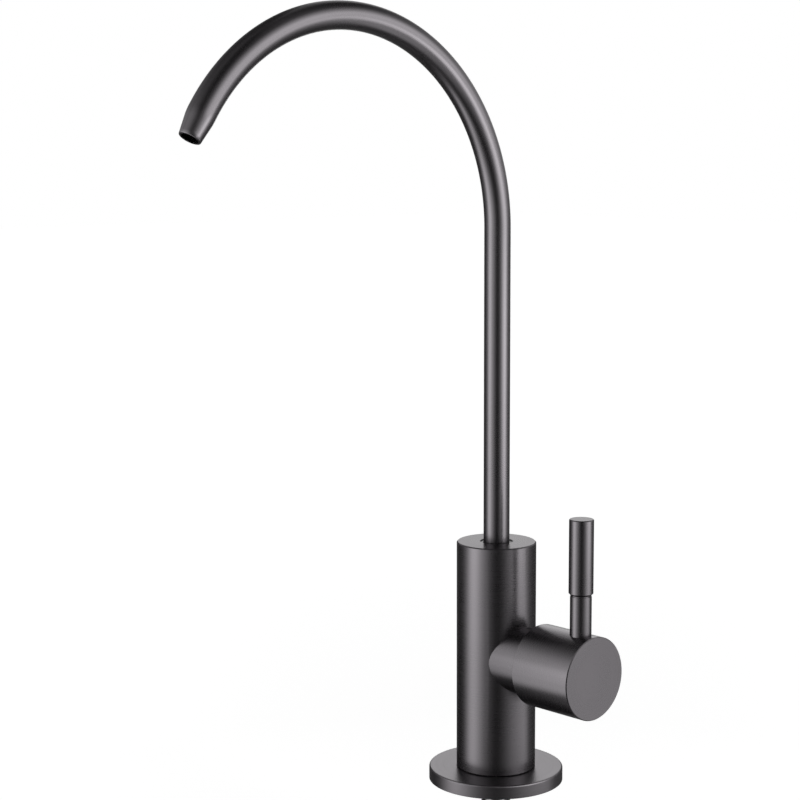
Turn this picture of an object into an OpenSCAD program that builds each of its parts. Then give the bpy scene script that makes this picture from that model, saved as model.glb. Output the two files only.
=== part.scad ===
// Drinking water filter tap, in millimetres, +Z up.
// A round column on a base plate carries a swivel gooseneck spout and, in a boss on its side,
// a quarter-turn valve with two ceramic discs. A hollow shank clamps it to a worktop.
// The origin is the centre of the base plate's underside, where it meets the worktop.
// The spout reaches towards -Y and the lever hub stands out towards +X.
// Threads are plain cylinders at their outer diameter.

/* [Base plate] */
// Diameter of the base plate
base_d = 51; // [47:0.5:60]
// Thickness of the base plate
base_h = 5; // [3.5:0.1:8]
// Rounding of the base plate's upper rim
base_round = 0.6; // [0.2:0.1:1.5]
// Diameter of the ring on the base plate that centres the column
spigot_d = 20; // [16:0.5:24]
// Height of that ring
spigot_h = 2; // [1:0.1:3]
// Outer diameter of the gasket under the base plate
gasket_d = 43; // [34:0.5:44]
// Width of the gasket's ring
gasket_w = 5; // [3:0.5:8]
// Thickness of the gasket
gasket_t = 1.6; // [1:0.1:2.5]

/* [Shank] */
// Outer diameter of the shank's thread (7/16 inch)
shank_d = 11.11; // [10:0.01:13]
// Waterway through the shank
shank_bore = 6; // [4:0.1:7]
// Length of the shank that is screwed into the column
shank_hold = 14; // [10:0.1:16]
// Length of the shank below the worktop's upper face
shank_drop = 50; // [45:0.5:70]
// Length of the inlet thread at the shank's lower end
inlet_len = 12.5; // [8:0.5:13]
// Width of the groove between the clamping thread and the inlet thread
relief_w = 1.5; // [1.2:0.1:2.5]
// Depth of that groove
relief_depth = 0.9; // [0.5:0.1:1.5]
// Bevel on the shank's two ends
shank_bevel = 0.8; // [0.3:0.1:1.2]
// Thickness of the seal above the shank
shank_seal_t = 1.5; // [1:0.1:2.5]
// Width of that seal's ring
shank_seal_w = 1; // [0.6:0.1:1.2]
// Depth of the water space above the seal
shank_plenum_h = 3; // [2:0.1:5]

/* [Worktop clamp] */
// Thickness of the worktop that the clamp is set for
deck_t = 20; // [10:0.5:23]
// Diameter of the two washers under the worktop
washer_d = 26; // [22:0.5:34]
// Thickness of the rubber washer
rubber_washer_t = 2.5; // [1.5:0.1:3.5]
// Thickness of the steel washer
steel_washer_t = 1.5; // [1:0.1:2.5]
// Width of the lock nut across its flats
nut_af = 19; // [17:0.5:24]
// Thickness of the lock nut
nut_t = 7; // [5:0.1:8]

/* [Column] */
// Diameter of the column
column_d = 30; // [28:0.5:36]
// Height of the column's top above the worktop
column_top = 92.2; // [89:0.1:115]
// Bevel on the column's two ends
column_bevel = 0.4; // [0.2:0.1:0.8]

/* [Spout] */
// Outer diameter of the spout tube
tube_d = 9.8; // [9:0.1:10.6]
// Wall of the spout tube
tube_wall = 1; // [0.8:0.05:1.5]
// Radius of the gooseneck's arch, to the tube's middle
arch_r = 73.7; // [50:0.1:110]
// Height of the arch's centre above the worktop
arch_z = 209.9; // [150:0.1:280]
// Angle that the arch turns through before the nozzle
arch_angle = 148; // [120:1:175]
// Length of the straight tapered nozzle
nozzle_len = 8; // [5:0.5:25]
// Diameter of the nozzle's tip
tip_d = 7.7; // [6.5:0.1:8.5]
// Wall at the nozzle's tip
tip_wall = 0.8; // [0.5:0.05:1.2]
// Step in the tube's surface where the nozzle is drawn down
swage_step = 0.05; // [0.02:0.01:0.2]

/* [Spout foot] */
// Diameter of the socket in the column's top
socket_d = 12.4; // [11.8:0.1:13.6]
// Ledge that the ferrule stands on
ledge_w = 0.8; // [0.5:0.1:1.2]
// Depth of the water space under the ferrule
plenum_h = 1.5; // [1:0.1:2.5]
// Metal between the valve chamber and the water space under the ferrule
socket_web = 3; // [2:0.1:4]
// Waterway through the ferrule
ferrule_bore = 6.5; // [5:0.1:6.8]
// Metal between the ferrule's grooves
ferrule_land = 1.3; // [1:0.05:1.6]
// Depth of the tube's seat in the ferrule
tube_seat = 8; // [5:0.1:9]
// Section of the ferrule's sealing rings
spout_ring_w = 1.6; // [1.2:0.1:1.7]
// Depth of the groove that the grub screw's dog runs in
dog_groove_depth = 1.1; // [0.8:0.05:1.5]
// Depth of the bush's upper face below the column's top
bush_recess = 0.4; // [0.1:0.1:1.5]
// Diameter of the spout's grub screw
spout_grub_d = 4; // [3.5:0.5:5]
// Diameter of its dog point
dog_d = 2.4; // [2:0.1:3]

/* [Valve] */
// Height of the valve's axis above the worktop
axis_z = 48.7; // [44:0.1:51]
// Distance of the boss's end face from the column's axis
boss_x = 22.3; // [20.5:0.1:26]
// Wall of the boss around the bonnet nut's thread
boss_wall = 2.5; // [2:0.1:3.2]
// Distance of the valve seat from the column's axis
seat_x = 1; // [0.5:0.1:2]
// Diameter of the valve chamber
chamber_d = 18; // [17:0.1:19.5]
// Shoulder in the chamber that the cartridge's flange sits on
shoulder_w = 1; // [0.8:0.1:1.4]
// Depth of the groove that collects the water round the cartridge
collector_depth = 1.5; // [1:0.1:2]
// Bore that brings the water up from the shank
inlet_d = 4; // [3:0.1:4.5]
// Bore that takes the water up to the spout
outlet_d = 4; // [3:0.1:4.5]
// Metal between the inlet bore and the valve seat
inlet_wall = 1.5; // [1:0.1:2]
// Port in the valve seat
seat_port_d = 6; // [5:0.1:8]

/* [Cartridge] */
// Wall of the cartridge housing round the discs
pocket_wall = 1.9; // [1.6:0.1:2.1]
// Thickness of the seal on the valve seat
seat_seal_t = 1.5; // [1:0.1:2]
// Thickness of each ceramic disc
disc_t = 2.5; // [2:0.1:2.8]
// Rim of each disc outside its ports
port_rim = 1.7; // [1.3:0.1:2]
// Inner radius of the discs' ports
port_r0 = 2; // [1.8:0.1:2.5]
// Angle of each of a disc's two ports
port_angle = 80; // [60:1:86]
// Width of the fixed disc's ears
ear_w = 3; // [2:0.1:4]
// Width of the spindle's tongue across the moving disc
tongue_w = 2.9; // [2:0.1:3]
// Depth of the tongue in the moving disc
tongue_depth = 0.8; // [0.4:0.1:1.2]
// Height of the housing's windows
window_h = 2; // [1.5:0.1:2.4]
// Angle of each window
window_angle = 50; // [30:1:70]
// Number of windows
window_count = 4; // [2:1:4]
// Thickness of the driver plate on the spindle
driver_t = 1.5; // [1:0.1:2]
// Angle that the lever turns through between its stops
turn_angle = 90; // [80:1:95]
// Angle of the stop rib in the housing
rib_angle = 20; // [12:1:30]
// Height of the stop rib
rib_h = 1.4; // [1:0.1:1.6]
// Play at each stop, as an angle
stop_play = 0.5; // [0.2:0.1:2]
// Thickness of the slip washer
slip_t = 0.5; // [0.3:0.1:0.8]
// Diameter of the spindle
spindle_d = 9; // [8.4:0.1:9.4]
// Outer diameter of the housing's neck
neck_d = 13; // [12:0.1:14.5]
// Thickness of the housing's flange
flange_t = 2.5; // [2:0.1:3]
// Section of the housing's sealing ring
housing_ring_w = 1.8; // [1.4:0.1:1.9]
// Metal on each side of that ring's groove
ring_land = 0.6; // [0.5:0.1:1]
// Section of the spindle's sealing rings
spindle_ring_w = 1.5; // [1.2:0.1:1.8]
// Metal on each side of the spindle's ring grooves
spindle_land = 2.2; // [1.5:0.1:3]
// Width of the bonnet nut's head across its flats
bonnet_af = 19; // [17:0.5:21]
// Height of the bonnet nut's head
bonnet_head_h = 3; // [2.5:0.1:4]
// Thickness of the circlip
circlip_t = 0.8; // [0.6:0.1:1]
// Depth of the circlip in the spindle
circlip_sink = 0.7; // [0.4:0.1:0.9]
// Height of the circlip above the spindle
circlip_stand = 1.25; // [0.8:0.05:1.8]
// Angle that the circlip reaches round the spindle
circlip_angle = 300; // [270:5:330]

/* [Lever] */
// Diameter of the lever hub
hub_d = 30.8; // [28:0.1:34]
// Length of the lever hub
hub_len = 26.7; // [25.5:0.1:34]
// Bevel on the hub's two ends
hub_bevel = 0.3; // [0.2:0.1:1]
// Seam between the boss and the hub
hub_seam = 0.3; // [0.2:0.1:0.6]
// Width of the spindle's square
square_w = 7; // [6.6:0.1:7.4]
// Length of the square in the hub
square_len = 9; // [7:0.1:9.5]
// Diameter of the hub's grub screw
hub_grub_d = 5; // [4:0.5:6]
// Depth of the grub screw's outer end below the hub's surface
hub_grub_recess = 2.5; // [1:0.1:4]
// Distance of the lever pin from the hub's flat end
lever_inset = 6.9; // [5:0.1:8]
// Diameter of the lever's stem
stem_d = 7.9; // [7:0.1:8.6]
// Depth of the stem's seat in the hub
stem_seat = 1.2; // [0.9:0.1:2]
// Diameter of the stem's two threaded ends
pin_d = 5; // [4:0.5:5.5]
// Length of the threaded end in the hub
pin_len = 7; // [5:0.1:9]
// Length of the threaded end in the grip
grip_pin_len = 14; // [8:0.5:20]
// Diameter of the grip
grip_d = 9; // [8.6:0.1:12]
// Height of the grip's lower end above the valve's axis
grip_z = 30; // [24:0.1:50]
// Length of the grip
grip_len = 27.9; // [22:0.1:60]
// Dark gap between the stem and the grip
grip_gap = 0.4; // [0.3:0.1:1.5]
// Depth of that gap
grip_gap_depth = 0.3; // [0.2:0.1:1]
// Bevel on the grip's lower end
grip_bevel = 0.7; // [0.3:0.1:0.9]
// Bevel on the grip's upper end
grip_top_bevel = 0.3; // [0.1:0.1:1]

/* [Clearances] */
// Gap round pieces that are screwed or pressed together
fit_gap = 0.05; // [0.02:0.01:0.1]
// Gap round pieces that turn, and over the slip washer
run_gap = 0.05; // [0.02:0.01:0.1]
// Gap round pieces that drop in loosely
loose_gap = 0.2; // [0.1:0.05:0.4]
// Spare depth at the end of a blind hole or groove
end_gap = 0.4; // [0.2:0.1:0.6]

/* [Hidden] */
$fn = 96;
// How far a cut runs past the surface that it opens
cut = 1;
// How far the nozzle's cone starts inside the arch
swage_lap = 1;
// The angle about the valve's axis that points up
up_angle = 180;

// Gasket, shank and worktop clamp
gasket_bore = gasket_d - 2 * gasket_w;
shank_hole_d = shank_d + 2 * fit_gap;
shank_floor = base_h + shank_hold;
shank_top = shank_floor - shank_seal_t;
shank_plenum_d = shank_d - 2 * shank_seal_w;
washer_hole_d = shank_d + 2 * loose_gap;
steel_washer_z = -deck_t - rubber_washer_t - steel_washer_t;
nut_z = steel_washer_z - nut_t;

// Valve diameters, from the chamber out to the boss and in to the spindle
bonnet_bore = chamber_d + 2 * shoulder_w;
boss_d = bonnet_bore + 2 * boss_wall;
collector_d = chamber_d + 2 * collector_depth;
housing_d = chamber_d - 2 * fit_gap;
flange_d = bonnet_bore - 2 * loose_gap;
pocket_d = housing_d - 2 * pocket_wall;
disc_d = pocket_d - 2 * run_gap;
port_r1 = disc_d / 2 - port_rim;
driver_d = pocket_d - 2 * loose_gap;
rib_r = pocket_d / 2 - rib_h;
neck_bore = spindle_d + 2 * run_gap;
circlip_d = spindle_d + 2 * circlip_stand;

// Valve stations along +X, from the seat outwards
skirt_x = seat_x + end_gap;
fixed_x = seat_x + seat_seal_t;
moving_x = fixed_x + disc_t;
window_x = moving_x + disc_t;
driver_x = window_x + window_h;
slip_x = driver_x + driver_t;
roof_x = slip_x + slip_t + run_gap;
housing_groove_w = housing_ring_w + end_gap;
housing_groove_x = roof_x + ring_land;
flange_x = housing_groove_x + housing_groove_w + ring_land;
bonnet_x = flange_x + flange_t;
bonnet_head_x = boss_x + end_gap;
neck_x = bonnet_head_x + bonnet_head_h + loose_gap;
circlip_x = neck_x + loose_gap / 2;
cavity_x = circlip_x + circlip_t + end_gap;
spindle_x = cavity_x + square_len;
hub_x = boss_x + hub_seam;
hub_face_x = hub_x + hub_len;
lever_x = hub_face_x - lever_inset;
spindle_groove_w = spindle_ring_w + end_gap;
spindle_groove_xs = [
    for (i = [0, 1]) roof_x + spindle_land + i * (spindle_groove_w + spindle_land)
];

// Waterways in the column
inlet_x = seat_x - inlet_wall - inlet_d / 2;
plenum_d = socket_d - 2 * ledge_w;
outlet_x = plenum_d / 2 - loose_gap - outlet_d / 2;
plenum_z = axis_z + collector_d / 2 + socket_web;
ledge_z = plenum_z + plenum_h;

// Spout foot, upwards from the ledge
ferrule_d = socket_d - 2 * run_gap;
spout_groove_w = spout_ring_w + end_gap;
spout_groove_zs = [
    for (i = [0, 1]) ledge_z + ferrule_land + i * (spout_groove_w + ferrule_land)
];
dog_groove_w = dog_d + 2 * loose_gap;
dog_groove_z = spout_groove_zs[1] + spout_groove_w + ferrule_land;
dog_z = dog_groove_z + dog_groove_w / 2;
tube_z = dog_groove_z + dog_groove_w + ferrule_land;
ferrule_top = tube_z + tube_seat;
bush_z = ferrule_top + end_gap;
dog_groove_r = ferrule_d / 2 - dog_groove_depth;

// Lever, upwards from the hub
stem_z = axis_z + hub_d / 2 - stem_seat;
grip_bottom = axis_z + grip_z;
stem_top = grip_bottom - grip_gap;
pin_hole_d = pin_d + 2 * fit_gap;

// Colours
gunmetal = "#454447";
steel = "#b9bbbe";
brass = "#b79a5b";
rubber = "#1d1d1f";
ceramic = "#e9e6df";
polymer = "#141416";

// Lays +Z along the valve's axis, so heights become distances along +X
module on_valve_axis() {
    translate([0, 0, axis_z]) rotate([0, 90, 0]) children();
}

module ring(d, bore, h) {
    difference() {
        cylinder(d = d, h = h);
        translate([0, 0, -cut]) cylinder(d = bore, h = h + 2 * cut);
    }
}

// A bar with a bevel on both ends
module bevelled_bar(d, h, bevel_low, bevel_high) {
    rotate_extrude() polygon([
        [0, 0],
        [d / 2 - bevel_low, 0],
        [d / 2, bevel_low],
        [d / 2, h - bevel_high],
        [d / 2 - bevel_high, h],
        [0, h],
    ]);
}

// A slice of a ring, centred on an angle
module sector(r0, r1, h, middle, span) {
    rotate_extrude(angle = span, start = middle - span / 2)
        translate([r0, 0]) square([r1 - r0, h]);
}

module hexagon(af, h) {
    cylinder(d = af / cos(30), h = h, $fn = 6);
}

// A round sealing ring that lies on z = 0
module o_ring(d, section) {
    translate([0, 0, section / 2]) rotate_extrude()
        translate([(d - section) / 2, 0]) circle(d = section);
}

// A groove turned into a shaft, from z = 0 up
module groove(d, depth, w) {
    ring(d + 2 * cut, d - 2 * depth, w);
}

// The hexagon socket in a grub screw's end, pointing down from z = 0
module key_socket(screw_d) {
    depth = screw_d / 2;
    translate([0, 0, -depth]) hexagon(screw_d / 2, depth + cut);
}

module base_plate() {
    color(gunmetal) difference() {
        union() {
            rotate_extrude() {
                square([base_d / 2 - base_round, base_h]);
                square([base_d / 2, base_h - base_round]);
                translate([base_d / 2 - base_round, base_h - base_round]) intersection() {
                    circle(r = base_round);
                    square(base_round);
                }
            }
            translate([0, 0, base_h]) cylinder(d = spigot_d, h = spigot_h);
        }
        translate([0, 0, -cut]) cylinder(d = washer_hole_d, h = base_h + spigot_h + 2 * cut);
        translate([0, 0, -cut])
            ring(gasket_d + 2 * fit_gap, gasket_bore - 2 * fit_gap, gasket_t + cut);
    }
}

module base_gasket() {
    color(rubber) ring(gasket_d, gasket_bore, gasket_t);
}

module threaded_shank() {
    color(steel) difference() {
        translate([0, 0, -shank_drop])
            bevelled_bar(shank_d, shank_drop + shank_top, shank_bevel, shank_bevel);
        translate([0, 0, -shank_drop - cut])
            cylinder(d = shank_bore, h = shank_drop + shank_top + 2 * cut);
        translate([0, 0, -shank_drop + inlet_len]) groove(shank_d, relief_depth, relief_w);
    }
}

module shank_seal() {
    color(rubber) translate([0, 0, shank_top]) ring(shank_d, shank_plenum_d, shank_seal_t);
}

module deck_rubber_washer() {
    color(rubber) translate([0, 0, -deck_t - rubber_washer_t])
        ring(washer_d, washer_hole_d, rubber_washer_t);
}

module deck_steel_washer() {
    color(steel) translate([0, 0, steel_washer_z]) ring(washer_d, washer_hole_d, steel_washer_t);
}

module lock_nut() {
    corner_d = nut_af / cos(30);
    bevel = (corner_d - nut_af) / 2;
    color(steel) translate([0, 0, nut_z]) difference() {
        intersection() {
            hexagon(nut_af, nut_t);
            bevelled_bar(corner_d, nut_t, bevel, bevel);
        }
        translate([0, 0, -cut]) cylinder(d = shank_hole_d, h = nut_t + 2 * cut);
    }
}

module column_body() {
    color(gunmetal) difference() {
        union() {
            translate([0, 0, base_h])
                bevelled_bar(column_d, column_top - base_h, column_bevel, column_bevel);
            on_valve_axis() cylinder(d = boss_d, h = boss_x);
        }
        shank_socket();
        valve_chamber();
        spout_socket();
    }
}

// Everything cut into the column from below
module shank_socket() {
    translate([0, 0, base_h - cut])
        cylinder(d = spigot_d + 2 * fit_gap, h = spigot_h + loose_gap + cut);
    translate([0, 0, base_h]) cylinder(d = shank_hole_d, h = shank_hold);
    translate([0, 0, shank_floor - cut]) cylinder(d = shank_plenum_d, h = shank_plenum_h + cut);
    translate([inlet_x, 0, shank_floor]) cylinder(d = inlet_d, h = axis_z - shank_floor);
}

// Everything cut into the column from the boss's end
module valve_chamber() {
    on_valve_axis() {
        translate([0, 0, inlet_x - inlet_d / 2])
            cylinder(d = seat_port_d, h = seat_x - inlet_x + inlet_d / 2 + cut);
        translate([0, 0, seat_x]) cylinder(d = chamber_d, h = boss_x - seat_x);
        translate([0, 0, fixed_x]) cylinder(d = collector_d, h = driver_x + end_gap - fixed_x);
        translate([0, 0, flange_x]) cylinder(d = bonnet_bore, h = boss_x - flange_x + cut);
    }
}

// Everything cut into the column from above
module spout_socket() {
    translate([outlet_x, 0, axis_z + chamber_d / 2 - cut])
        cylinder(d = outlet_d, h = plenum_z - axis_z - chamber_d / 2 + 2 * cut);
    translate([0, 0, plenum_z]) cylinder(d = plenum_d, h = plenum_h + cut);
    translate([0, 0, ledge_z]) cylinder(d = socket_d, h = column_top - ledge_z + cut);
    translate([0, 0, dog_z]) rotate([-90, 0, 0])
        cylinder(d = spout_grub_d + 2 * fit_gap, h = column_d / 2 + cut);
}

module spout_tube() {
    color(gunmetal) difference() {
        spout_run(tube_d, tip_d, 0);
        spout_run(tube_d - 2 * tube_wall, tip_d - 2 * tip_wall, cut);
    }
}

// The spout as a solid rod: riser, arch and tapered nozzle, longer at both ends by the overrun
module spout_run(d, end_d, overrun) {
    translate([0, 0, tube_z - overrun]) cylinder(d = d, h = arch_z - tube_z + overrun);
    translate([0, -arch_r, arch_z]) rotate([90, 0, 90]) {
        rotate_extrude(angle = arch_angle) translate([arch_r, 0]) circle(d = d);
        rotate([0, 0, arch_angle]) translate([arch_r, 0, 0]) rotate([-90, 0, 0]) {
            translate([0, 0, -swage_lap])
                cylinder(d1 = d - 2 * swage_step, d2 = end_d, h = swage_lap + nozzle_len);
            if (overrun > 0)
                translate([0, 0, nozzle_len - overrun]) cylinder(d = end_d, h = 2 * overrun);
        }
    }
}

module spout_ferrule() {
    color(brass) difference() {
        translate([0, 0, ledge_z]) cylinder(d = ferrule_d, h = ferrule_top - ledge_z);
        translate([0, 0, ledge_z - cut]) cylinder(d = ferrule_bore, h = ferrule_top - ledge_z);
        translate([0, 0, tube_z]) cylinder(d = tube_d + 2 * fit_gap, h = tube_seat + cut);
        for (z = spout_groove_zs)
            translate([0, 0, z]) groove(ferrule_d, spout_ring_w, spout_groove_w);
        translate([0, 0, dog_groove_z]) groove(ferrule_d, dog_groove_depth, dog_groove_w);
    }
}

module spout_o_rings() {
    color(rubber) for (z = spout_groove_zs)
        translate([0, 0, z + end_gap / 2]) o_ring(ferrule_d, spout_ring_w);
}

module spout_bush() {
    color(polymer) translate([0, 0, bush_z])
        ring(socket_d - 2 * fit_gap, tube_d + 2 * run_gap, column_top - bush_recess - bush_z);
}

module spout_grub_screw() {
    tip_y = dog_groove_r + loose_gap;
    thread_y = socket_d / 2 + loose_gap;
    end_y = column_d / 2 - end_gap;
    color(steel) translate([0, 0, dog_z]) rotate([-90, 0, 0]) {
        translate([0, 0, tip_y]) cylinder(d = dog_d, h = thread_y - tip_y);
        difference() {
            translate([0, 0, thread_y]) cylinder(d = spout_grub_d, h = end_y - thread_y);
            translate([0, 0, end_y]) key_socket(spout_grub_d);
        }
    }
}

module cartridge_housing() {
    color(brass) on_valve_axis() difference() {
        union() {
            translate([0, 0, skirt_x]) cylinder(d = housing_d, h = flange_x - skirt_x);
            translate([0, 0, flange_x]) cylinder(d = flange_d, h = flange_t);
            translate([0, 0, bonnet_x]) cylinder(d = neck_d, h = neck_x - bonnet_x);
        }
        difference() {
            translate([0, 0, skirt_x - cut]) cylinder(d = pocket_d, h = roof_x - skirt_x + cut);
            translate([0, 0, driver_x + loose_gap / 2])
                sector(rib_r, pocket_d / 2 + cut, roof_x - driver_x, up_angle, rib_angle);
        }
        translate([0, 0, roof_x - cut]) cylinder(d = neck_bore, h = neck_x - roof_x + 2 * cut);
        translate([0, 0, housing_groove_x]) groove(housing_d, housing_ring_w, housing_groove_w);
        for (i = [1:window_count])
            translate([0, 0, window_x])
                sector(pocket_d / 2 - cut, housing_d / 2 + cut, window_h,
                    (i - 1 / 2) * 360 / window_count, window_angle);
        ear_slot_w = ear_w + 2 * fit_gap;
        translate([-ear_slot_w / 2, -housing_d / 2 - cut, skirt_x - cut])
            cube([ear_slot_w, housing_d + 2 * cut, moving_x - skirt_x + cut]);
    }
}

module housing_o_ring() {
    color(rubber) on_valve_axis() translate([0, 0, housing_groove_x + end_gap / 2])
        o_ring(housing_d, housing_ring_w);
}

module seat_seal() {
    color(rubber) on_valve_axis() translate([0, 0, seat_x])
        ring(disc_d, 2 * port_r1, seat_seal_t);
}

// The two ports of a disc, centred on an angle and on the angle opposite it
module disc_ports(middle) {
    for (a = [middle, middle + 180])
        translate([0, 0, -cut]) sector(port_r0, port_r1, disc_t + 2 * cut, a, port_angle);
}

module fixed_disc() {
    color(ceramic) on_valve_axis() translate([0, 0, fixed_x]) difference() {
        union() {
            cylinder(d = disc_d, h = disc_t);
            ear_span = housing_d - 2 * loose_gap;
            translate([-ear_w / 2, -ear_span / 2, 0]) cube([ear_w, ear_span, disc_t]);
        }
        disc_ports(0);
    }
}

// Shut at rest: its ports lie a quarter turn away from the fixed disc's
module moving_disc() {
    slot_w = tongue_w + 2 * fit_gap;
    color(ceramic) on_valve_axis() translate([0, 0, moving_x]) difference() {
        cylinder(d = disc_d, h = disc_t);
        disc_ports(90);
        translate([-disc_d, -slot_w / 2, disc_t - tongue_depth])
            cube([2 * disc_d, slot_w, tongue_depth + cut]);
    }
}

// The notch whose two ends meet the stop rib, for a plate that lies on z = 0
module stop_notch(h) {
    notch_angle = turn_angle + rib_angle + 2 * stop_play;
    translate([0, 0, -cut])
        sector(rib_r - loose_gap, driver_d, h + 2 * cut, up_angle - turn_angle / 2, notch_angle);
}

module spindle() {
    tongue_x = window_x - tongue_depth;
    tongue_len = driver_d - 2 * loose_gap;
    flats_x = circlip_x + circlip_t + loose_gap;
    color(brass) on_valve_axis() difference() {
        union() {
            translate([-tongue_len / 2, -tongue_w / 2, tongue_x])
                cube([tongue_len, tongue_w, driver_x - tongue_x]);
            translate([0, 0, driver_x]) difference() {
                cylinder(d = driver_d, h = driver_t);
                stop_notch(driver_t);
            }
            translate([0, 0, driver_x]) cylinder(d = spindle_d, h = spindle_x - driver_x);
        }
        for (x = spindle_groove_xs)
            translate([0, 0, x]) groove(spindle_d, spindle_ring_w, spindle_groove_w);
        translate([0, 0, circlip_x - loose_gap / 4])
            groove(spindle_d, circlip_sink, circlip_t + loose_gap / 2);
        for (a = [0:90:270])
            rotate(a) translate([square_w / 2, -spindle_d, flats_x])
                cube([spindle_d, 2 * spindle_d, spindle_x - flats_x + cut]);
    }
}

module spindle_o_rings() {
    color(rubber) on_valve_axis() for (x = spindle_groove_xs)
        translate([0, 0, x + end_gap / 2]) o_ring(spindle_d, spindle_ring_w);
}

// A washer with the driver's own outline, so the stop rib passes it as well
module slip_washer() {
    color(polymer) on_valve_axis() translate([0, 0, slip_x]) difference() {
        ring(driver_d, neck_bore, slip_t);
        stop_notch(slip_t);
    }
}

// A ring with a gap, sprung into the spindle's groove
module spindle_circlip() {
    r0 = spindle_d / 2 - circlip_sink + fit_gap;
    color(steel) on_valve_axis() translate([0, 0, circlip_x])
        sector(r0, circlip_d / 2, circlip_t, 0, circlip_angle);
}

module bonnet_nut() {
    color(brass) on_valve_axis() translate([0, 0, bonnet_x]) difference() {
        union() {
            cylinder(d = bonnet_bore - 2 * fit_gap, h = bonnet_head_x - bonnet_x);
            translate([0, 0, bonnet_head_x - bonnet_x]) hexagon(bonnet_af, bonnet_head_h);
        }
        translate([0, 0, -cut]) cylinder(d = neck_d + 2 * fit_gap, h = neck_x - bonnet_x + 2 * cut);
    }
}

module lever_hub() {
    cavity_d = bonnet_af / cos(30) + 2 * end_gap;
    color(gunmetal) difference() {
        on_valve_axis() translate([0, 0, hub_x]) bevelled_bar(hub_d, hub_len, hub_bevel, hub_bevel);
        on_valve_axis() {
            translate([0, 0, hub_x - cut]) cylinder(d = cavity_d, h = cavity_x - hub_x + cut);
            translate([0, 0, cavity_x - cut]) intersection() {
                cylinder(d = spindle_d + 2 * fit_gap, h = spindle_x - cavity_x + cut);
                socket_w = square_w + 2 * fit_gap;
                translate([-socket_w / 2, -socket_w / 2, 0])
                    cube([socket_w, socket_w, spindle_x - cavity_x + cut]);
            }
        }
        translate([cavity_x + square_len / 2, 0, axis_z - hub_d])
            cylinder(d = hub_grub_d + 2 * fit_gap, h = hub_d);
        translate([lever_x, 0, stem_z]) {
            cylinder(d = stem_d + 2 * fit_gap, h = stem_seat + cut);
            translate([0, 0, -pin_len - end_gap])
                cylinder(d = pin_hole_d, h = pin_len + end_gap + cut);
        }
    }
}

module hub_grub_screw() {
    h = hub_d / 2 - hub_grub_recess - square_w / 2;
    color(steel) translate([cavity_x + square_len / 2, 0, axis_z - square_w / 2]) rotate([180, 0, 0])
        difference() {
            cylinder(d = hub_grub_d, h = h);
            translate([0, 0, h]) key_socket(hub_grub_d);
        }
}

module lever_stem() {
    color(gunmetal) translate([lever_x, 0, 0]) {
        translate([0, 0, stem_z - pin_len]) cylinder(d = pin_d, h = pin_len);
        translate([0, 0, stem_z]) cylinder(d = stem_d, h = stem_top - stem_z);
        translate([0, 0, stem_top]) cylinder(d = stem_d - 2 * grip_gap_depth, h = grip_gap);
        translate([0, 0, grip_bottom]) cylinder(d = pin_d, h = grip_pin_len);
    }
}

module lever_grip() {
    color(gunmetal) translate([lever_x, 0, grip_bottom]) difference() {
        bevelled_bar(grip_d, grip_len, grip_bevel, grip_top_bevel);
        translate([0, 0, -cut]) cylinder(d = pin_hole_d, h = grip_pin_len + end_gap + cut);
    }
}

column_body();
base_plate();
base_gasket();
threaded_shank();
shank_seal();
deck_rubber_washer();
deck_steel_washer();
lock_nut();
spout_tube();
spout_ferrule();
spout_o_rings();
spout_bush();
spout_grub_screw();
cartridge_housing();
housing_o_ring();
seat_seal();
fixed_disc();
moving_disc();
spindle();
spindle_o_rings();
slip_washer();
spindle_circlip();
bonnet_nut();
lever_hub();
lever_stem();
lever_grip();
hub_grub_screw();
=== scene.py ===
import math

import bpy
from mathutils import Matrix, Vector


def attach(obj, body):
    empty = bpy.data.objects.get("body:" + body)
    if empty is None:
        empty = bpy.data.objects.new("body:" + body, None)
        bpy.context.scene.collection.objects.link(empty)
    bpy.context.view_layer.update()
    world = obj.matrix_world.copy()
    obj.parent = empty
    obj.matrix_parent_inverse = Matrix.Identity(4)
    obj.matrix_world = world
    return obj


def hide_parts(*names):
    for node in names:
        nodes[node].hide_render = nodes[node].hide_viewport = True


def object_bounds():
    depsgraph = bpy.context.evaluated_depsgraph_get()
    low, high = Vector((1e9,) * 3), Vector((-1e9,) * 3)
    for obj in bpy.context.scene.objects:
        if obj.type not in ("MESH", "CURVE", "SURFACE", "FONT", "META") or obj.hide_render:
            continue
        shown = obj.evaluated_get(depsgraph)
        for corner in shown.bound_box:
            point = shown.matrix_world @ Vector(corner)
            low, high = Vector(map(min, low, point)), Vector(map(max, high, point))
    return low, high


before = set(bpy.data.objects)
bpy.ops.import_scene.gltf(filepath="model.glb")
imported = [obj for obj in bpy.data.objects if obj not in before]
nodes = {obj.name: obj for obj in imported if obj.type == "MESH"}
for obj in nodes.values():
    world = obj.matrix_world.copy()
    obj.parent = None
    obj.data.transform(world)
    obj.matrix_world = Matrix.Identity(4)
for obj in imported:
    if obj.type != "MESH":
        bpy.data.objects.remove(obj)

cad_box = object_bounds()

# Camera: a tripod in front of the tap and to its right, looking slightly down
CAMERA_AZIMUTH = math.radians(43.83)
CAMERA_DISTANCE = 0.6933
CAMERA_HEIGHT = 0.2370
CAMERA_YAW = math.radians(2.995)
CAMERA_PITCH = math.radians(7.488)
CAMERA_ROLL = math.radians(-0.205)
LENS = 84.09
SENSOR = 36.0

# Floor: matt, with a glow that brings it up to white where no shadow falls
FLOOR_Z = cad_box[0][2]
FLOOR_SIZE = 12.0
FLOOR_COLOUR = (0.9, 0.9, 0.9)
GLOW_NEAR = 0.40
GLOW_FAR = 0.56
GLOW_NEAR_RADIUS = 0.25
GLOW_FAR_RADIUS = 1.0

# World: white where it is seen, and grey as light
WHITE = (1.0, 1.0, 1.0)
AMBIENT = 0.5

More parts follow.
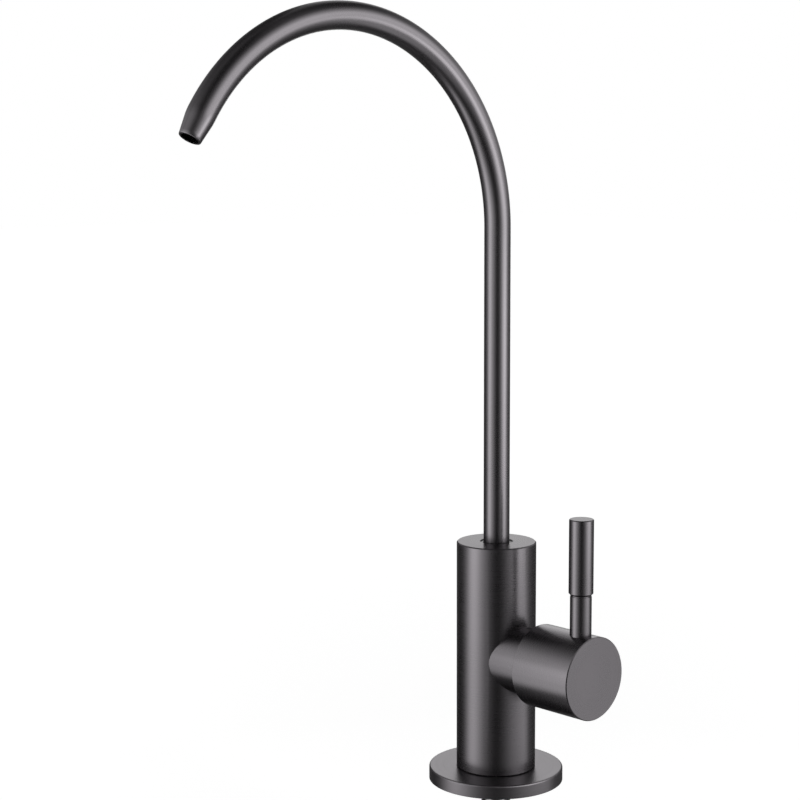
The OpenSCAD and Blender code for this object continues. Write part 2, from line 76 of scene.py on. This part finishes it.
# Cards round the tap that only reflections see: they shine by their own level
CARD_RADIUS = 0.62
CARD_BLACK = 0.012
CARD_GAIN = 2.5
CARD_LIFT = 0.0005
CARD_STEP = 3
CEILING_RADIUS = 0.001

# Lamps: two soft boxes that light the floor and what is not metal
LAMP_DISTANCE = 0.75
LAMP_HEIGHT = 0.35
LAMP_SIZE = 0.8
LEFT_LAMP_ANGLE = -77
LEFT_LAMP_RADIANCE = 1.1
RIGHT_LAMP_ANGLE = 68
RIGHT_LAMP_RADIANCE = 1.45

# How bright the cards are: pairs of an angle in degrees from the camera, positive to its right,
# and a level
LEFT_RING_ANGLES = [
    (-164, 0.06), (-112, 0.03), (-104, 0.12), (-94, 0.24), (-86, 0.38), (-78, 1.2), (-64, 1.43),
    (-51, 1.1), (-47, 0.66), (-38, 0.6), (-24, 0.27), (-14, 0.09), (-3, 0.0), (0, 0.0),
]
LEFT_HIGH_ANGLES = [
    (-164, 0.2), (-130, 0.35), (-112, 0.55), (-98, 0.9), (-88, 0.65), (-78, 0.85), (-64, 1.2),
    (-51, 1.0), (-38, 0.9), (-24, 0.5), (-14, 0.2), (0, 0.05),
]
RIGHT_RING_ANGLES = [
    (0, 0.0), (12, 0.0), (24, 0.12), (35, 0.37), (39, 0.33), (41, 0.72), (51, 1.18), (60, 1.58),
    (72, 2.08), (86, 1.15), (95, 0.45), (98, 0.25), (112, 0.16), (130, 0.12), (164, 0.06),
]
RIGHT_HIGH_ANGLES = [
    (0, 0.05), (12, 0.1), (24, 0.2), (35, 0.5), (45, 0.8), (60, 1.0), (97, 1.0), (106, 0.55),
    (120, 0.35), (147, 0.35), (164, 0.35),
]
BACK_RING_ANGLES = [(164, 0.06), (168, 0.94), (192, 0.94), (196, 0.06)]
LEFT_APRON_ANGLES = [
    (-180, 0.08), (-156, 0.06), (-138, 0.03), (-116, 0.01), (-104, 0.06), (-94, 0.3), (-86, 0.6),
    (-78, 0.95), (-64, 1.0), (-51, 0.66), (-38, 0.34), (-26, 0.15), (-14, 0.05), (-3, 0.0),
    (0, 0.0),
]
RIGHT_APRON_ANGLES = [
    (0, 0.0), (9, 0.02), (20, 0.08), (32, 0.17), (44, 0.27), (57, 0.33), (71, 0.43), (84, 0.58),
    (95, 0.61), (106, 0.12), (124, 0.08), (144, 0.05), (156, 0.06), (180, 0.08),
]
# The card under the tap is kept dark: a painted shadow of the tap on the floor, as reflections see it
NEAR_APRON_ANGLES = [
    (-180, 0.12), (-156, 0.1), (-138, 0.0), (-92, 0.0), (-70, 0.12), (-52, 0.2), (-30, 0.12),
    (0, 0.06), (60, 0.1), (120, 0.1), (180, 0.12),
]

# A second level that multiplies the first: by height for the standing cards, and by radius for
# # those on the floor. The floor cards are darker close to the tap: painted shade of the tap's shadow
# on the floor
LEFT_RING_HEIGHTS = [(FLOOR_Z, 0.8), (0.06, 0.95), (0.2, 1.0), (0.26, 0.8)]
LEFT_HIGH_HEIGHTS = [
    (0.26, 0.75), (0.38, 0.62), (0.48, 0.52), (0.6, 0.28), (0.75, 0.2), (0.87, 0.16), (1.0, 0.07),
]
RIGHT_RING_HEIGHTS = [(FLOOR_Z, 0.6), (0.06, 0.9), (0.12, 1.05), (0.22, 0.8)]
RIGHT_HIGH_HEIGHTS = [
    (0.22, 0.8), (0.28, 0.86), (0.34, 1.0), (0.42, 1.08), (0.5, 0.96), (0.6, 0.6), (0.72, 0.36),
    (0.85, 0.2), (1.0, 0.06),
]
BACK_RING_HEIGHTS = [
    (FLOOR_Z, 0.1), (0.09, 0.2), (0.15, 0.9), (0.2, 1.0), (0.38, 1.0), (0.5, 0.5), (0.65, 0.4),
    (0.85, 0.4), (1.0, 0.15),
]
# Low levels at the smallest radii are painted shadow of the tap on the floor round its foot
LEFT_APRON_RADII = [
    (0.11, 0.3), (0.15, 0.8), (0.2, 1.0), (0.27, 0.83), (0.42, 0.92), (0.5, 1.05), (0.62, 1.35),
]
RIGHT_APRON_RADII = [
    (0.11, 0.25), (0.15, 0.6), (0.2, 1.0), (0.3, 0.9), (0.4, 0.86), (0.5, 0.77), (0.56, 0.74),
    (0.62, 0.92),
]
NEAR_APRON_RADII = [(0.006, 1.0), (0.09, 1.0), (0.11, 0.9)]

# Spout: the run of its middle line and its section
ARCH_RADIUS = 0.0737
ARCH_HEIGHT = 0.2099
ARCH_ANGLE = 148
NOZZLE_LENGTH = 0.008
TUBE_RADIUS = 0.0049
TUBE_WALL = 0.001
TIP_RADIUS = 0.00385
TIP_WALL = 0.0008
TIP_ROUND = 0.0002
TIP_CUT = 0.3
SWAGE_EASE = 0.0016
SPOUT_SIDES = 96
RISER_STEPS = 12
ARCH_STEP = 1
EASE_STEPS = 6
TAPER_STEPS = 6
SPOUT_SHARP_ANGLE = math.radians(40)

# Shank thread, 24 to the inch
SHANK_RADIUS = 0.005555
SHANK_BORE_RADIUS = 0.003
SHANK_BEVEL = 0.0008
THREAD_PITCH = 0.0254 / 24
THREAD_DEPTH = 0.00058
THREAD_SLOPE = 2.4
THREAD_CREST = 0.1
THREAD_SIDES = 72
THREAD_ROWS = 10
SHANK_SHARP_ANGLE = math.radians(50)
RELIEF_LOW = -0.0375
RELIEF_WIDTH = 0.0015
RELIEF_DEPTH = 0.0009

# Texture of every finish: noise in features per metre, and how far it moves roughness and tone
GRAIN_SCALE = 4200
CLOUD_SCALE = 55
MARK_SCALE = 1500
NOISE_DETAIL = 2.0
MARK_DETAIL = 4.0
MARK_DRIFT = 0.03
CLOUD_ROUGHNESS = 0.04
CLOUD_TONE = 0.10
TEXTURE_TONE = 0.8

# Axes that the turned pieces were turned about
VALVE_CENTRE = (0, 0, 0.0487)
UPRIGHT = (0, 0, 1)
SIDEWAYS = (1, 0, 0)

# Colours, and how much of the gunmetal's reflection is left where it is seen at a slant
GUNMETAL = (0.122, 0.115, 0.122)
EDGE_TURNED = 0.55
EDGE_MATT = 0.75
EDGE_PLAIN = 0.7
STEEL = (0.42, 0.42, 0.43)
BRASS = (0.36, 0.27, 0.135)
RUBBER = (0.018, 0.018, 0.019)
CERAMIC = (0.86, 0.84, 0.79)
POLYMER = (0.016, 0.016, 0.018)


def around(angle, radius, height):
    """A point at an angle in degrees from the camera, positive to the camera's right."""
    turn = CAMERA_AZIMUTH + math.radians(angle)
    return Vector((radius * math.sin(turn), -radius * math.cos(turn), height))


def link(name, data):
    """A new object in the scene."""
    thing = bpy.data.objects.new(name, data)
    bpy.context.scene.collection.objects.link(thing)
    return thing


# Shader helpers


def add(tree, kind, **settings):
    """A shader node with its properties set."""
    node = tree.nodes.new(kind)
    for key, value in settings.items():
        setattr(node, key, value)
    return node


def calc(tree, operation, first, second):
    """The outcome of a maths step on two values, each a socket or a number."""
    node = add(tree, "ShaderNodeMath", operation=operation)
    for value, socket in ((first, node.inputs[0]), (second, node.inputs[1])):
        if isinstance(value, (int, float)):
            socket.default_value = value
        else:
            tree.links.new(value, socket)
    return node.outputs[0]


def blank_material(name):
    """A material with an empty node tree and its output."""
    material = bpy.data.materials.new(name)
    material.use_nodes = True
    tree = material.node_tree
    tree.nodes.clear()
    return material, tree, add(tree, "ShaderNodeOutputMaterial")


def noise(tree, vector, scale, detail=NOISE_DETAIL):
    """Noise from -0.5 to 0.5 at a scale in features per metre."""
    texture = add(tree, "ShaderNodeTexNoise")
    texture.inputs["Scale"].default_value = scale
    texture.inputs["Detail"].default_value = detail
    tree.links.new(vector, texture.inputs["Vector"])
    return calc(tree, "SUBTRACT", texture.outputs["Fac"], 0.5)


def turned_coordinates(tree, place, axis, centre):
    """Distance from the axis, height along it and a slow third value, for marks that run round it."""
    from_centre = add(tree, "ShaderNodeVectorMath", operation="SUBTRACT")
    from_centre.inputs[1].default_value = centre
    tree.links.new(place, from_centre.inputs[0])
    height = add(tree, "ShaderNodeVectorMath", operation="DOT_PRODUCT")
    height.inputs[1].default_value = axis
    tree.links.new(from_centre.outputs[0], height.inputs[0])
    along = add(tree, "ShaderNodeVectorMath", operation="SCALE")
    along.inputs[0].default_value = axis
    tree.links.new(height.outputs["Value"], along.inputs["Scale"])
    across = add(tree, "ShaderNodeVectorMath", operation="SUBTRACT")
    tree.links.new(from_centre.outputs[0], across.inputs[0])
    tree.links.new(along.outputs[0], across.inputs[1])
    radius = add(tree, "ShaderNodeVectorMath", operation="LENGTH")
    tree.links.new(across.outputs[0], radius.inputs[0])
    parts = add(tree, "ShaderNodeSeparateXYZ")
    tree.links.new(across.outputs[0], parts.inputs[0])
    slow = calc(tree, "MULTIPLY", parts.outputs["Y"], MARK_DRIFT)
    joined = add(tree, "ShaderNodeCombineXYZ")
    tree.links.new(radius.outputs["Value"], joined.inputs["X"])
    tree.links.new(height.outputs["Value"], joined.inputs["Y"])
    tree.links.new(slow, joined.inputs["Z"])
    return joined.outputs[0]


def weighted(tree, first, first_share, second, second_share):
    """A share of one value and a share of another, added."""
    one = calc(tree, "MULTIPLY", first, first_share)
    return calc(tree, "ADD", one, calc(tree, "MULTIPLY", second, second_share))


def surface(
    name,
    colour,
    metallic,
    roughness,
    axis=None,
    centre=(0, 0, 0),
    brush=0.0,
    grain=0.0,
    bump=0.0,
    edge=1.0,
):
    """A procedural finish: fine grain everywhere, and marks round the axis of a turned piece."""
    material, tree, output = blank_material(name)
    place = add(tree, "ShaderNodeTexCoord").outputs["Object"]
    shader = add(tree, "ShaderNodeBsdfPrincipled")
    shader.inputs["Metallic"].default_value = metallic
    shader.inputs["Specular Tint"].default_value = (edge, edge, edge, 1)
    tree.links.new(shader.outputs[0], output.inputs["Surface"])
    fine = noise(tree, place, GRAIN_SCALE)
    cloud = noise(tree, place, CLOUD_SCALE)
    marks = fine
    if axis is not None:
        turned = turned_coordinates(tree, place, axis, centre)
        marks = noise(tree, turned, MARK_SCALE, MARK_DETAIL)
    texture = weighted(tree, marks, brush, fine, grain)
    rough = calc(tree, "ADD", texture, calc(tree, "MULTIPLY", cloud, CLOUD_ROUGHNESS))
    tree.links.new(calc(tree, "ADD", rough, roughness), shader.inputs["Roughness"])
    tone = weighted(tree, texture, TEXTURE_TONE, cloud, CLOUD_TONE)
    tint = add(tree, "ShaderNodeVectorMath", operation="SCALE")
    tint.inputs[0].default_value = colour
    tree.links.new(calc(tree, "ADD", tone, 1.0), tint.inputs["Scale"])
    tree.links.new(tint.outputs[0], shader.inputs["Base Color"])
    if bump:
        relief = add(tree, "ShaderNodeBump")
        relief.inputs["Strength"].default_value = 1.0
        relief.inputs["Distance"].default_value = bump
        tree.links.new(texture, relief.inputs["Height"])
        tree.links.new(relief.outputs[0], shader.inputs["Normal"])
    return material


def seen_directly(tree):
    """1 for camera, glossy and transmission rays, 0 for the rest."""
    path = add(tree, "ShaderNodeLightPath")
    first = calc(tree, "MAXIMUM", path.outputs["Is Camera Ray"], path.outputs["Is Glossy Ray"])
    return calc(tree, "MAXIMUM", first, path.outputs["Is Transmission Ray"])


# Pieces of the tap


def box_of(piece):
    """Lowest and highest corner of a piece."""
    corners = [piece.matrix_world @ Vector(corner) for corner in piece.bound_box]
    low = Vector([min(corner[i] for corner in corners) for i in range(3)])
    high = Vector([max(corner[i] for corner in corners) for i in range(3)])
    return low, high


def ring_mesh(name, rings):
    """A closed smooth mesh through rings of points, from the first ring round to the first again."""
    count = len(rings[0])
    points = [point for ring in rings for point in ring]
    faces = []
    for row in range(len(rings)):
        above = (row + 1) % len(rings)
        for i in range(count):
            side = (i + 1) % count
            lower = (row * count + i, row * count + side)
            upper = (above * count + side, above * count + i)
            faces.append(lower + upper)
    mesh = bpy.data.meshes.new(name)
    mesh.from_pydata(points, [], faces)
    mesh.shade_smooth()
    return mesh


def spout_place(run):
    """Point and direction of the spout's middle line, at a length from the start of the arch."""
    arch = ARCH_RADIUS * math.radians(ARCH_ANGLE)
    if run <= 0:
        return Vector((0, 0, ARCH_HEIGHT + run)), Vector((0, 0, 1))
    turn = min(run, arch) / ARCH_RADIUS
    reach = -ARCH_RADIUS + ARCH_RADIUS * math.cos(turn)
    point = Vector((0, reach, ARCH_HEIGHT + ARCH_RADIUS * math.sin(turn)))
    ahead = Vector((0, -math.sin(turn), math.cos(turn)))
    return point + ahead * max(0.0, run - arch), ahead


def drawn_radius(past, start, end):
    """Radius near the nozzle: level, then eased into the taper."""
    slope = (start - end) / NOZZLE_LENGTH
    if past <= -SWAGE_EASE:
        return start
    if past >= SWAGE_EASE:
        return start - slope * past
    return start - slope * (past + SWAGE_EASE) ** 2 / (4 * SWAGE_EASE)


def make_spout():
    """The spout tube in one smooth skin, with the nozzle drawn down and the bore open."""
    foot = box_of(nodes["spout_tube"])[0].z - ARCH_HEIGHT
    arch = ARCH_RADIUS * math.radians(ARCH_ANGLE)
    end = arch + NOZZLE_LENGTH
    riser = [foot * (1 - i / RISER_STEPS) for i in range(RISER_STEPS)]
    bends = range(round(ARCH_ANGLE / ARCH_STEP))
    bend = [ARCH_RADIUS * math.radians(ARCH_STEP * i) for i in bends]
    ease = [arch + SWAGE_EASE * (i / EASE_STEPS - 1) for i in range(2 * EASE_STEPS + 1)]
    eased = arch + SWAGE_EASE
    straight = end - TIP_ROUND - arch - SWAGE_EASE
    taper = [eased + straight * i / TAPER_STEPS for i in range(1, TAPER_STEPS + 1)]
    runs = riser + [run for run in bend if run < ease[0]] + ease + taper
    outer = [(run, drawn_radius(run - arch, TUBE_RADIUS, TIP_RADIUS)) for run in runs]
    cut = TIP_ROUND * TIP_CUT
    lip = [(end - cut, TIP_RADIUS - cut), (end, TIP_RADIUS - TIP_ROUND)]
    bore = TIP_RADIUS - TIP_WALL
    mouth = [(end, bore)]
    inside = TUBE_RADIUS - TUBE_WALL
    inner = [(run, drawn_radius(run - arch, inside, bore)) for run in reversed(runs)]
    turns = [2 * math.pi * i / SPOUT_SIDES for i in range(SPOUT_SIDES)]
    side = Vector(SIDEWAYS)
    rings = []
    for run, radius in outer + lip + mouth + inner:
        point, ahead = spout_place(run)
        up = ahead.cross(side)
        rings.append([point + (side * math.cos(t) + up * math.sin(t)) * radius for t in turns])
    spout = link("spout_skin", ring_mesh("spout_skin", rings))
    spout.data.set_sharp_from_angle(angle=SPOUT_SHARP_ANGLE)
    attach(spout, "spout")
    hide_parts("spout_tube")
    return spout


def thread_radius(height, turn, low, high):
    """Radius of the threaded shank at a height and an angle."""
    wave = (height / THREAD_PITCH - turn / (2 * math.pi)) % 1
    cut = THREAD_DEPTH * min(1.0, max(0.0, THREAD_SLOPE * abs(wave - 0.5) - THREAD_CREST))
    radius = SHANK_RADIUS - cut
    edge = min(height - low, high - height)
    if edge < SHANK_BEVEL:
        radius = min(radius, SHANK_RADIUS - SHANK_BEVEL + edge)
    if RELIEF_LOW <= height <= RELIEF_LOW + RELIEF_WIDTH:
        radius = SHANK_RADIUS - RELIEF_DEPTH
    return radius


def make_shank():
    """The hollow shank with a real thread, open at both ends."""
    low, high = (corner.z for corner in box_of(nodes["threaded_shank"]))
    count = math.ceil((high - low) / THREAD_PITCH * THREAD_ROWS)
    heights = [low + (high - low) * i / count for i in range(count + 1)]
    turns = [2 * math.pi * i / THREAD_SIDES for i in range(THREAD_SIDES)]
    rings = []
    for height in heights:
        radii = [thread_radius(height, turn, low, high) for turn in turns]
        rings.append([(r * math.cos(t), r * math.sin(t), height) for r, t in zip(radii, turns)])
    bore = SHANK_BORE_RADIUS
    for height in (high, low):
        rings.append([(bore * math.cos(t), bore * math.sin(t), height) for t in turns])
    shank = link("shank_thread", ring_mesh("shank_thread", rings))
    shank.data.set_sharp_from_angle(angle=SHANK_SHARP_ANGLE)
    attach(shank, "body")
    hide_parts("threaded_shank")
    return shank


def paint(material, *pieces):
    """Gives pieces one material in place of what they had."""
    for piece in pieces:
        piece.data.materials.clear()
        piece.data.materials.append(material)


def paint_gunmetal(spout):
    """The dark satin metal of the outside, turned, matt or plain."""
    dark = dict(colour=GUNMETAL, metallic=1.0, roughness=0.28, bump=0.000002)
    duller = dark | dict(roughness=0.33)
    up = dict(axis=UPRIGHT)
    across = dict(axis=SIDEWAYS, centre=VALVE_CENTRE)
    upright = surface("gunmetal_upright", brush=0.045, grain=0.03, edge=EDGE_TURNED, **up, **dark)
    sideways = surface("gunmetal_sideways", brush=0.05, grain=0.03, edge=EDGE_PLAIN, **across, **dark)
    plain = surface("gunmetal_plain", grain=0.04, edge=EDGE_PLAIN, **dark)
    matt = surface("gunmetal_matt", brush=0.08, grain=0.03, edge=EDGE_MATT, **up, **duller)
    paint(upright, nodes["column_body"], nodes["lever_stem"], nodes["lever_grip"])
    paint(matt, nodes["base_plate"])
    paint(sideways, nodes["lever_hub"])
    paint(plain, spout, nodes["spout_tube"])


def paint_bright_metal(shank):
    """Turned stainless steel and brass."""
    turned = dict(metallic=1.0, brush=0.08, grain=0.05, bump=0.000004)
    across = dict(axis=SIDEWAYS, centre=VALVE_CENTRE)
    steel = surface("stainless", colour=STEEL, roughness=0.26, axis=UPRIGHT, **turned)
    paint(steel, shank, nodes["threaded_shank"], nodes["deck_steel_washer"], nodes["lock_nut"])
    paint(steel, nodes["spout_grub_screw"], nodes["hub_grub_screw"], nodes["spindle_circlip"])
    brass = surface("brass", colour=BRASS, roughness=0.24, **across, **turned)
    paint(brass, nodes["cartridge_housing"], nodes["spindle"])
    paint(brass, nodes["bonnet_nut"], nodes["spout_ferrule"])


def paint_seals():
    """Rubber, ceramic and polymer."""
    moulded = dict(colour=RUBBER, metallic=0.0, roughness=0.62)
    lapped = dict(colour=CERAMIC, metallic=0.0, roughness=0.14)
    machined = dict(colour=POLYMER, metallic=0.0, roughness=0.45, axis=UPRIGHT)
    rubber = surface("rubber", grain=0.2, bump=0.00003, **moulded)
    paint(rubber, nodes["base_gasket"], nodes["shank_seal"], nodes["deck_rubber_washer"])
    paint(rubber, nodes["spout_o_rings"], nodes["housing_o_ring"])
    paint(rubber, nodes["seat_seal"], nodes["spindle_o_rings"])
    ceramic = surface("ceramic", grain=0.04, **lapped)
    paint(ceramic, nodes["fixed_disc"], nodes["moving_disc"])
    polymer = surface("polymer", brush=0.1, grain=0.08, bump=0.00001, **machined)
    paint(polymer, nodes["spout_bush"], nodes["slip_washer"])


# Stage


def make_world():
    """White where it is seen, and a plain grey level as light."""
    world = bpy.data.worlds.new("studio")
    bpy.context.scene.world = world
    world.use_nodes = True
    tree = world.node_tree
    tree.nodes.clear()
    output = add(tree, "ShaderNodeOutputWorld")
    seen = add(tree, "ShaderNodeBackground")
    seen.inputs["Color"].default_value = (*WHITE, 1)
    light = add(tree, "ShaderNodeBackground")
    light.inputs["Color"].default_value = (*WHITE, 1)
    light.inputs["Strength"].default_value = AMBIENT
    mix = add(tree, "ShaderNodeMixShader")
    tree.links.new(seen_directly(tree), mix.inputs[0])
    tree.links.new(light.outputs[0], mix.inputs[1])
    tree.links.new(seen.outputs[0], mix.inputs[2])
    tree.links.new(mix.outputs[0], output.inputs["Surface"])


def make_floor():
    """A pale floor that looks white and keeps a soft shadow."""
    half = FLOOR_SIZE / 2
    mesh = bpy.data.meshes.new("floor")
    corners = [(-half, -half, 0), (half, -half, 0), (half, half, 0), (-half, half, 0)]
    mesh.from_pydata(corners, [], [(0, 1, 2, 3)])
    floor = link("floor", mesh)
    floor.location.z = FLOOR_Z
    material, tree, output = blank_material("pale_floor")
    matt = add(tree, "ShaderNodeBsdfDiffuse")
    matt.inputs["Color"].default_value = (*FLOOR_COLOUR, 1)
    radius = add(tree, "ShaderNodeVectorMath", operation="LENGTH")
    tree.links.new(add(tree, "ShaderNodeTexCoord").outputs["Object"], radius.inputs[0])
    level = add(tree, "ShaderNodeMapRange")
    level.inputs["From Min"].default_value = GLOW_NEAR_RADIUS
    level.inputs["From Max"].default_value = GLOW_FAR_RADIUS
    level.inputs["To Min"].default_value = GLOW_NEAR
    level.inputs["To Max"].default_value = GLOW_FAR
    tree.links.new(radius.outputs["Value"], level.inputs["Value"])
    glow = add(tree, "ShaderNodeEmission")
    strength = calc(tree, "MULTIPLY", seen_directly(tree), level.outputs[0])
    tree.links.new(strength, glow.inputs["Strength"])
    both = add(tree, "ShaderNodeAddShader")
    tree.links.new(matt.outputs[0], both.inputs[0])
    tree.links.new(glow.outputs[0], both.inputs[1])
    tree.links.new(both.outputs[0], output.inputs["Surface"])
    material.cycles.emission_sampling = "NONE"
    mesh.materials.append(material)


def card_material():
    """A card that shines by the level stored at its points."""
    material, tree, output = blank_material("card")
    level = add(tree, "ShaderNodeAttribute", attribute_name="level")
    shine = add(tree, "ShaderNodeEmission")
    strength = calc(tree, "MULTIPLY", level.outputs["Fac"], CARD_GAIN)
    tree.links.new(strength, shine.inputs["Strength"])
    tree.links.new(shine.outputs[0], output.inputs["Surface"])
    material.cycles.emission_sampling = "NONE"
    return material


def level_at(stops, angle):
    """The level at an angle, between the stops on either side of it."""
    for (a0, level0), (a1, level1) in zip(stops, stops[1:]):
        if a0 <= angle <= a1:
            return level0 + (level1 - level0) * (angle - a0) / (a1 - a0)
    return 0.0


def make_card(name, rows, stops):
    """A sheet round the tap through rows of radius, height and level, shaded by angle too."""
    start, end = stops[0][0], stops[-1][0]
    count = round((end - start) / CARD_STEP) + 1
    angles = [start + CARD_STEP * i for i in range(count)]
    points = []
    levels = []
    for radius, height, level in rows:
        points += [around(angle, radius, height) for angle in angles]
        levels += [CARD_BLACK + level * level_at(stops, angle) for angle in angles]
    faces = []
    for row in range(len(rows) - 1):
        for i in range(count - 1):
            low = row * count + i
            faces.append((low, low + 1, low + count + 1, low + count))
    mesh = bpy.data.meshes.new(name)
    mesh.from_pydata(points, [], faces)
    shine = mesh.attributes.new("level", "FLOAT", "POINT")
    shine.data.foreach_set("value", levels)
    mesh.materials.append(card_material())
    card = link(name, mesh)
    card.visible_camera = False
    card.visible_diffuse = False
    card.visible_shadow = False


def make_ring(name, angles, heights, ceiling=True):
    """Part of a ring of card that stands round the tap, with or without its ceiling."""
    rows = [(CARD_RADIUS, height, level) for height, level in heights]
    if ceiling:
        _, top, level = rows[-1]
        rows.append((CEILING_RADIUS, top, level))
    make_card(name, rows, angles)


def make_apron(name, angles, radii):
    """Part of a ring of card on the floor."""
    height = FLOOR_Z + CARD_LIFT
    make_card(name, [(radius, height, level) for radius, level in radii], angles)


def make_lamp(name, angle, radiance):
    """A soft box that faces the tap's axis."""
    light = bpy.data.lights.new(name, "AREA")
    light.shape = "RECTANGLE"
    light.size = LAMP_SIZE
    light.size_y = LAMP_SIZE
    light.energy = radiance * math.pi * LAMP_SIZE * LAMP_SIZE
    lamp = link(name, light)
    lamp.location = around(angle, LAMP_DISTANCE, LAMP_HEIGHT)
    aim = Vector((0, 0, LAMP_HEIGHT)) - lamp.location
    lamp.rotation_euler = aim.to_track_quat("-Z", "Y").to_euler()
    lamp.visible_camera = False


def make_light():
    """The two lamps, the standing cards and the cards on the floor."""
    make_lamp("left_lamp", LEFT_LAMP_ANGLE, LEFT_LAMP_RADIANCE)
    make_lamp("right_lamp", RIGHT_LAMP_ANGLE, RIGHT_LAMP_RADIANCE)
    make_ring("left_ring", LEFT_RING_ANGLES, LEFT_RING_HEIGHTS, ceiling=False)
    make_ring("left_high_ring", LEFT_HIGH_ANGLES, LEFT_HIGH_HEIGHTS)
    make_ring("right_ring", RIGHT_RING_ANGLES, RIGHT_RING_HEIGHTS, ceiling=False)
    make_ring("right_high_ring", RIGHT_HIGH_ANGLES, RIGHT_HIGH_HEIGHTS)
    make_ring("back_ring", BACK_RING_ANGLES, BACK_RING_HEIGHTS)
    make_apron("left_apron", LEFT_APRON_ANGLES, LEFT_APRON_RADII)
    make_apron("right_apron", RIGHT_APRON_ANGLES, RIGHT_APRON_RADII)
    make_apron("near_apron", NEAR_APRON_ANGLES, NEAR_APRON_RADII)


def make_camera():
    """The camera on its tripod, turned a little from the tap's axis, pitched down and rolled."""
    turn = CAMERA_AZIMUTH + CAMERA_YAW
    ahead = Vector((-math.sin(turn), math.cos(turn), 0)) * math.cos(CAMERA_PITCH)
    ahead.z = -math.sin(CAMERA_PITCH)
    level = Vector((math.cos(turn), math.sin(turn), 0))
    upright = level.cross(ahead)
    right = level * math.cos(CAMERA_ROLL) + upright * math.sin(CAMERA_ROLL)
    up = upright * math.cos(CAMERA_ROLL) - level * math.sin(CAMERA_ROLL)
    data = bpy.data.cameras.new("camera")
    data.lens = LENS
    data.sensor_width = SENSOR
    data.sensor_fit = "HORIZONTAL"
    camera = link("camera", data)
    place = around(0, CAMERA_DISTANCE, CAMERA_HEIGHT)
    facing = Matrix((right, up, -ahead)).transposed().to_4x4()
    camera.matrix_world = Matrix.Translation(place) @ facing
    bpy.context.scene.camera = camera


bpy.context.scene.view_settings.view_transform = "Standard"
spout_skin = make_spout()
shank_thread = make_shank()
paint_gunmetal(spout_skin)
paint_bright_metal(shank_thread)
paint_seals()
make_world()
make_floor()
make_light()
make_camera()
